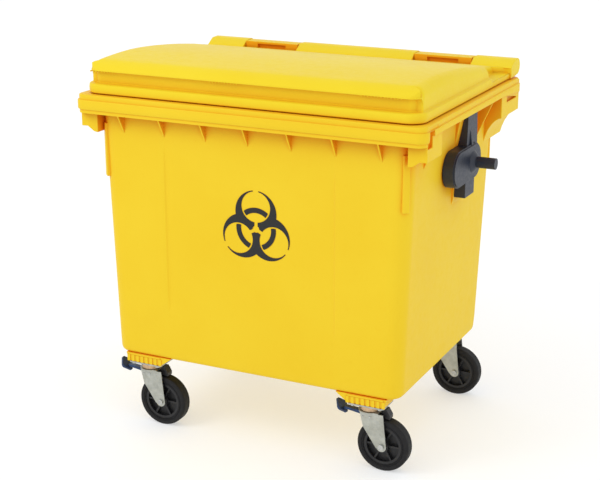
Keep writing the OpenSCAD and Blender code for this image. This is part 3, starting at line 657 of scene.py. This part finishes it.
lid = {"half": rimHalf - 0.020, "front": rimFront + 0.020, "base": rimTop + 0.003, "cut": hingeY - 0.066,
       "radius": 0.060}
crest = {"y": rimFront + 0.275, "z": lidHigh.z}
visor = {"y": lid["front"] + 0.012, "z": rimTop + 0.089, "lift": 0.029, "run": 0.060}
back = {"y": hingeY - 0.080, "z": hingeZ + 0.005}
flank = {"y": rimFront + 0.750, "z": rimTop + 0.028, "in": 0.062}
ledgeTop = rimTop + 0.038


def crown(y):
    if y < crest["y"]:
        start = visor["z"] + visor["lift"]
        z = crest["z"] - (crest["z"] - start) * ((crest["y"] - y) / (crest["y"] - visor["y"])) ** 2
        return z - visor["lift"] * max(0.0, 1 - (y - visor["y"]) / visor["run"]) ** 2
    return crest["z"] - (crest["z"] - back["z"]) * min(1.0,
                                                       (y - crest["y"]) / (back["y"] - crest["y"])) ** 1.6


lidXs = [-0.58 + 0.04 * k for k in range(30)]
lidYs = [lid["front"] + 0.075 + 0.02 * k for k in range(35)]
lidYs = [y for y in lidYs if y < flank["y"] - 0.012]
lidYs += [flank["y"] + d for d in (-0.006, 0.0, 0.006, 0.012)]
lidYs += [mix(flank["y"] + 0.012, lid["cut"], k / 6) for k in range(1, 6)]
arcSteps = 18


def lidRing(step):
    ring = []
    for x, y, nx, ny in loopAt(lid["half"], lid["front"], lid["cut"] + lid["radius"], lid["radius"], lidXs,
                               lidYs, arcSteps):
        y = min(y, lid["cut"])
        front = smooth((-ny - 0.25) / 0.25)
        drop = smooth((y - flank["y"]) / 0.010) if abs(x) > lid["half"] - 0.07 else 0.0
        edge = mix(mix(0.038, 0.003, front), 0.018, drop)
        wall = mix(mix(0.013, 0.0105, front), flank["in"], drop)
        ledge = mix(ledgeTop, flank["z"] - 0.004, drop)
        top = crown(max(y, visor["y"]))
        shoulder = mix(top - edge, visor["z"] - 0.002, front)
        groove = mix(wall, 0.031, front)
        under = mix(mix(ledge, shoulder, 0.7), visor["z"] - 0.0055, front)
        rows = {
            "tuck": (0.003, lid["base"]), "low": (0.0005, lid["base"] + 0.003),
            "wide": (0.0, lid["base"] + 0.022),
            "ledgeOut": (0.002, ledge - 0.003), "ledgeEdge": (0.005, ledge - 0.0005),
            "ledgeIn": (groove - 0.003, ledge + 0.001),
            "wallLow": (groove, ledge + 0.004), "wallHigh": (groove, mix(mix(ledge, shoulder, 0.6),
                                                                         under - 0.002, front)),
            "visorUnder": (mix(wall, 0.028, front), under),
            "visorLip": (mix(wall, 0.0140, front), under + 0.0002 * front),
            "visorEdge": (wall, mix(mix(ledge, shoulder, 0.9), under + 0.0015, front)),
            "shoulder": (wall, shoulder),
        }
        if step in rows:
            inset, z = rows[step]
        else:
            a = math.radians(step)
            inset = wall + edge * (1 - math.cos(a))
            z = mix(shoulder + edge * math.sin(a), visor["z"] - 0.002 * (1 - math.sin(a)), front)
        if y >= lid["cut"] - 1e-6:
            inset = 0.0
            z = min(z, top)
        px, py = x - nx * inset, min(y - ny * inset, lid["cut"])
        if step == 90:
            z = crown(max(py, visor["y"]))
        ring.append((px, py, z))
    return ring


def zipRows(verts, near, far):
    faces = []
    i = j = 0
    while i < len(near) - 1 or j < len(far) - 1:
        if j == len(far) - 1 or (i < len(near) - 1 and verts[near[i + 1]][0] <= verts[far[j + 1]][0]):
            faces.append((near[i], near[i + 1], far[j]))
            i += 1
        else:
            faces.append((near[i], far[j + 1], far[j]))
            j += 1
    return faces


def crownRows(verts, base, count, columns=36):
    faces = []
    wide = len(lidXs)
    right = [base + wide + k for k in range(2 * (arcSteps + 1) + len(lidYs))]
    left = [base + count - 1 - k for k in range(len(right))]
    last = max(k for k in range(len(right)) if verts[right[k]][1] < lid["cut"] - 0.001)
    rows = []
    for k in range(1, last + 1):
        half, y = verts[right[k]][0], verts[right[k]][1]
        row = [left[k]]
        for j in range(1, columns):
            verts.append((mix(-half, half, j / columns), y, crown(max(y, visor["y"]))))
            row.append(len(verts) - 1)
        rows.append(row + [right[k]])
    for near, far in zip(rows, rows[1:]):
        faces += [(near[j], near[j + 1], far[j + 1], far[j]) for j in range(columns)]
    faces += zipRows(verts, [left[0]] + [base + k for k in range(wide)] + [right[0]], rows[0])
    rearLine = [base + k for k in range(wide + len(right), wide + len(right) + wide)][::-1]
    faces += zipRows(verts, rows[-1], left[last + 1:] + rearLine + right[last + 1:][::-1])
    return faces


steps = ["tuck", "low", "wide", "ledgeOut", "ledgeEdge", "ledgeIn", "wallLow", "wallHigh", "visorUnder",
         "visorLip",
         "visorEdge", "shoulder", 15, 30, 45, 60, 75, 90]
lidRings = [lidRing(step) for step in steps]
verts, faces = bridge(lidRings)
faces += crownRows(verts, (len(lidRings) - 1) * len(lidRings[0]), len(lidRings[0]))
lidShell = meshObject("lidShell", verts, faces, lidPlastic, "lid", 38)
skin = lidShell.modifiers.new("thickness", "SOLIDIFY")
skin.thickness = 0.004
skin.offset = -1
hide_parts("lid")

teeth = Shapes()
for low, high in ((-0.64, -0.53), (-0.14, -0.01), (0.44, 0.60)):
    for k in range(int((high - low) / 0.012)):
        x = low + 0.012 * k
        teeth.block((x, visor["y"] + 0.001, visor["z"] - 0.0085),
                    (x + 0.005, visor["y"] + 0.010, visor["z"] - 0.004))
teeth.make("lipTeeth", lidPlastic, "lid", 0.0006, 1)

blocks = Shapes()
blockR = lidHigh.y - hingeY
profile = []
for a in range(-100, 91, 10):
    turn = math.radians(a)
    profile.append((hingeY + blockR * math.cos(turn), hingeZ + blockR * math.sin(turn)))
profile += [(hingeY - 0.040, hingeZ + blockR - 0.002), (back["y"] - 0.002, back["z"] - 0.001),
            (lid["cut"] - 0.012, back["z"] - 0.004),
            (lid["cut"] - 0.012, lid["base"] + 0.001), (hingeY - 0.012, lid["base"] + 0.004)]
blockEnd = rimHalf - 0.013
blocks.prism(profile, "x", -lug["in"] + 0.003, lug["in"] - 0.003)
blocks.prism(profile, "x", lug["out"] + 0.003, blockEnd, mirror=True)
blocks.make("lidHingeBlocks", lidPlastic, "lid", 0.004, 3, 35)
print("lid made")

# pale floor, soft light and the camera

floorSize = 40
floorMesh = bpy.data.meshes.new("studioFloor")
corners = [(-floorSize, -floorSize, 0), (floorSize, -floorSize, 0), (floorSize, floorSize, 0),
           (-floorSize, floorSize, 0)]
floorMesh.from_pydata(corners, [], [(0, 1, 2, 3)])
floor = bpy.data.objects.new("studioFloor", floorMesh)
bpy.context.scene.collection.objects.link(floor)
floorLook, tree, shader = nodesFor("studio_floor")
coords = tree.nodes.new("ShaderNodeTexCoord").outputs["Object"]
link(tree, mixColour(tree, noise(tree, coords, 1.5), (0.54, 0.55, 0.56), (0.56, 0.57, 0.58)),
     shader.inputs["Base Color"])
shader.inputs["Roughness"].default_value = 0.9
shader.inputs["Specular IOR Level"].default_value = 0.1
shader.inputs["Emission Color"].default_value = (1, 1, 1, 1)
shader.inputs["Emission Strength"].default_value = 0.46
floorMesh.materials.append(floorLook)

scene = bpy.context.scene
world = bpy.data.worlds.new("studio")
scene.world = world
world.use_nodes = True
world.node_tree.nodes["Background"].inputs["Color"].default_value = (1, 1, 1, 1)
world.node_tree.nodes["Background"].inputs["Strength"].default_value = 1.0
scene.view_settings.view_transform = "Standard"

target = Vector((-0.0221, -0.0105, 0.6856))


def lamp(name, place, size, power):
    data = bpy.data.lights.new(name, "AREA")
    data.shape = "DISK"
    data.size = size
    data.energy = power
    obj = bpy.data.objects.new(name, data)
    obj.location = place
    obj.rotation_mode = "QUATERNION"
    obj.rotation_quaternion = (target - Vector(place)).to_track_quat("-Z", "Y")
    scene.collection.objects.link(obj)


lamp("keyLight", (-2.6, -3.4, 4.2), 2.4, 50)
lamp("fillLight", (4.2, -2.2, 2.6), 2.6, 12)

azimuth, elevation, distance = math.radians(25.816), math.radians(17.053), 5.4158
away = Vector((math.sin(azimuth) * math.cos(elevation), -math.cos(azimuth) * math.cos(elevation),
               math.sin(elevation)))
camera = bpy.data.objects.new("camera", bpy.data.cameras.new("camera"))
camera.location = target + away * distance
camera.rotation_mode = "QUATERNION"
camera.rotation_quaternion = (-away).to_track_quat("-Z", "Y")
camera.data.sensor_width = 36
camera.data.lens = 82.52
scene.collection.objects.link(camera)
scene.camera = camera
print("stage made")
